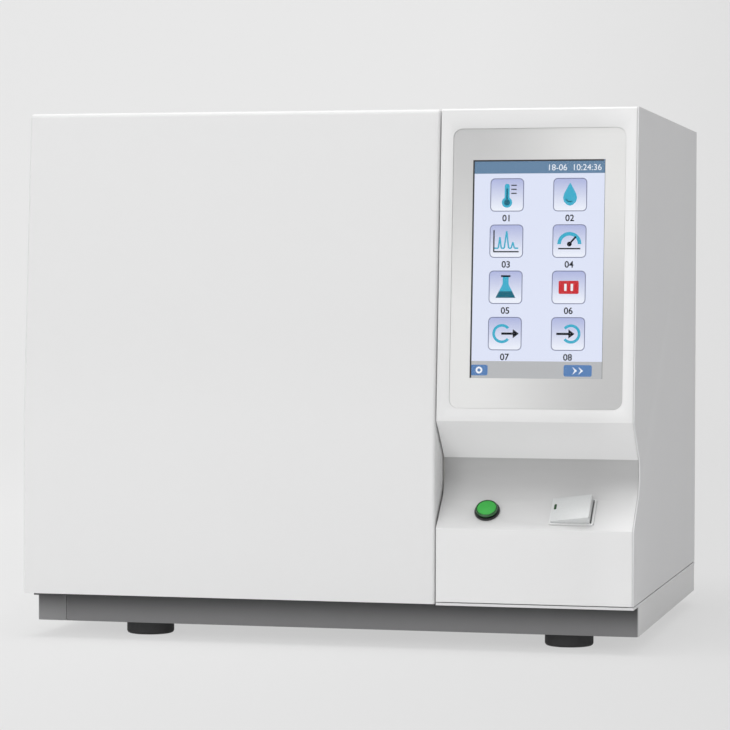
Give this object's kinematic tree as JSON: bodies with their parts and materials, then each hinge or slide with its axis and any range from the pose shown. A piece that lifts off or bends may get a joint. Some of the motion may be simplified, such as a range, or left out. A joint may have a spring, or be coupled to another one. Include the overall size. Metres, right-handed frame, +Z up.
{
  "type": "gas chromatograph",
  "caption": "Bench gas chromatograph: fan oven behind a full-height hinged door, with a sculpted control module carrying a touch screen, a start button and a power rocker.",
  "frame": {"origin": "middle of the footprint, on the bench", "axes": "+Z up; the door and the control panel face -Y; +X to the right as seen from the front"},
  "size_m": [0.63, 0.5243, 0.538],
  "materials": {
    "painted_sheet": "satin light grey powder coat",
    "base_paint": "satin mid grey paint",
    "fascia_plastic": "fine moulded light grey",
    "overlay_silver": "satin silver grey film",
    "foot_rubber": "matte black",
    "gasket_silicone": "matte red-brown silicone",
    "zinc_sheet": "galvanised sheet",
    "stainless": "brushed stainless steel",
    "turned_steel": "turned and polished steel",
    "cast_aluminium": "machined aluminium",
    "brass_fitting": "turned brass",
    "mineral_wool": "mineral wool board",
    "black_plastic": "matte black moulding",
    "white_switch": "satin white moulding",
    "green_button": "translucent green moulding",
    "green_lens": "dark green lens",
    "screen_glass": "clear glass",
    "screen_panel": "lit display panel",
    "board_green": "circuit board laminate",
    "column_fibre": "amber coated fused silica",
    "magnet_ferrite": "magnet in black holder"
  },
  "bodies": {
    "chassis": {"base_side_rail": "base_paint", "base_tray": "base_paint", "feet": "foot_rubber", "floor_pan": "zinc_sheet", "front_frame": "stainless", "left_side_panel": "painted_sheet", "centre_bulkhead": "zinc_sheet", "oven_liner": "stainless", "oven_insulation": "mineral_wool", "oven_casing": "zinc_sheet", "fan_motor": "cast_aluminium", "motor_posts": "turned_steel", "oven_heater": "stainless", "fan_baffle": "stainless", "column_cage": "turned_steel", "column_coil": "column_fibre", "top_deck": "zinc_sheet", "port_heater_blocks": "cast_aluminium", "injectors": "turned_steel", "septum_nuts": "turned_steel", "detectors": "stainless", "door_hinge_arms": "zinc_sheet", "door_hinge_pins": "turned_steel", "door_magnets": "magnet_ferrite", "lid_hinge_brackets": "zinc_sheet", "lid_hinge_pins": "turned_steel", "lid_bar": "painted_sheet", "exhaust_duct": "stainless", "flap_motor": "black_plastic", "exhaust_cowl": "stainless", "rear_panel": "painted_sheet", "signal_ports": "black_plastic", "mains_inlet": "black_plastic", "gas_fittings": "brass_fitting", "right_side_panel": "painted_sheet", "module_top_cover": "painted_sheet", "control_fascia": "fascia_plastic", "overlay": "overlay_silver", "touch_glass": "screen_glass", "display_module": "screen_panel", "start_button_body": "black_plastic", "switch_body": "white_switch", "cooling_fan_frame": "black_plastic", "main_board": "board_green", "power_supply": "zinc_sheet", "flow_manifold": "cast_aluminium"},
    "door": {"door_shell": "painted_sheet", "door_back_plate": "stainless", "door_plug": "stainless", "door_insulation": "mineral_wool", "door_gasket": "gasket_silicone", "door_hinge_lugs": "zinc_sheet", "door_strikes": "turned_steel"},
    "lid": {"top_lid": "painted_sheet"},
    "oven_fan": {"oven_fan": "stainless"},
    "exhaust_flap": {"exhaust_flap": "stainless"},
    "start_button": {"start_button_cap": "green_button"},
    "power_rocker": {"switch_rocker": "white_switch", "rocker_lens": "green_lens"},
    "cooling_rotor": {"cooling_fan_rotor": "black_plastic"}
  },
  "joints": [
    {"name": "door_hinge", "type": "hinge", "parent": "chassis", "child": "door", "pos_m": [-0.3085, -0.231, 0.3], "axis": [0, 0, -1], "range_deg": [0, 105]},
    {"name": "lid_hinge", "type": "hinge", "parent": "chassis", "child": "lid", "pos_m": [-0.1, 0.2047, 0.533], "axis": [-1, 0, 0], "range_deg": [0, 75]},
    {"name": "oven_fan_spin", "type": "hinge", "parent": "chassis", "child": "oven_fan", "pos_m": [-0.09795, -0.05, 0.2394], "axis": [0, 1, 0], "continuous": true},
    {"name": "exhaust_flap_turn", "type": "hinge", "parent": "chassis", "child": "exhaust_flap", "pos_m": [0.00605, 0.178, 0.3434], "axis": [1, 0, 0], "range_deg": [0, 85]},
    {"name": "start_button_press", "type": "slide", "parent": "chassis", "child": "start_button", "axis": [0, 0.6703, -0.7421], "range_m": [0, 0.0025], "stiffness_N_per_m": 800, "springref_m": -0.0015},
    {"name": "power_rocker_tilt", "type": "hinge", "parent": "chassis", "child": "power_rocker", "pos_m": [0.252, -0.24281, 0.13731], "axis": [0, 0.7421, 0.6703], "range_deg": [0, 19]},
    {"name": "cooling_fan_spin", "type": "hinge", "parent": "chassis", "child": "cooling_rotor", "pos_m": [0.24627, 0.22, 0.448], "axis": [0, 1, 0], "continuous": true}
  ]
}
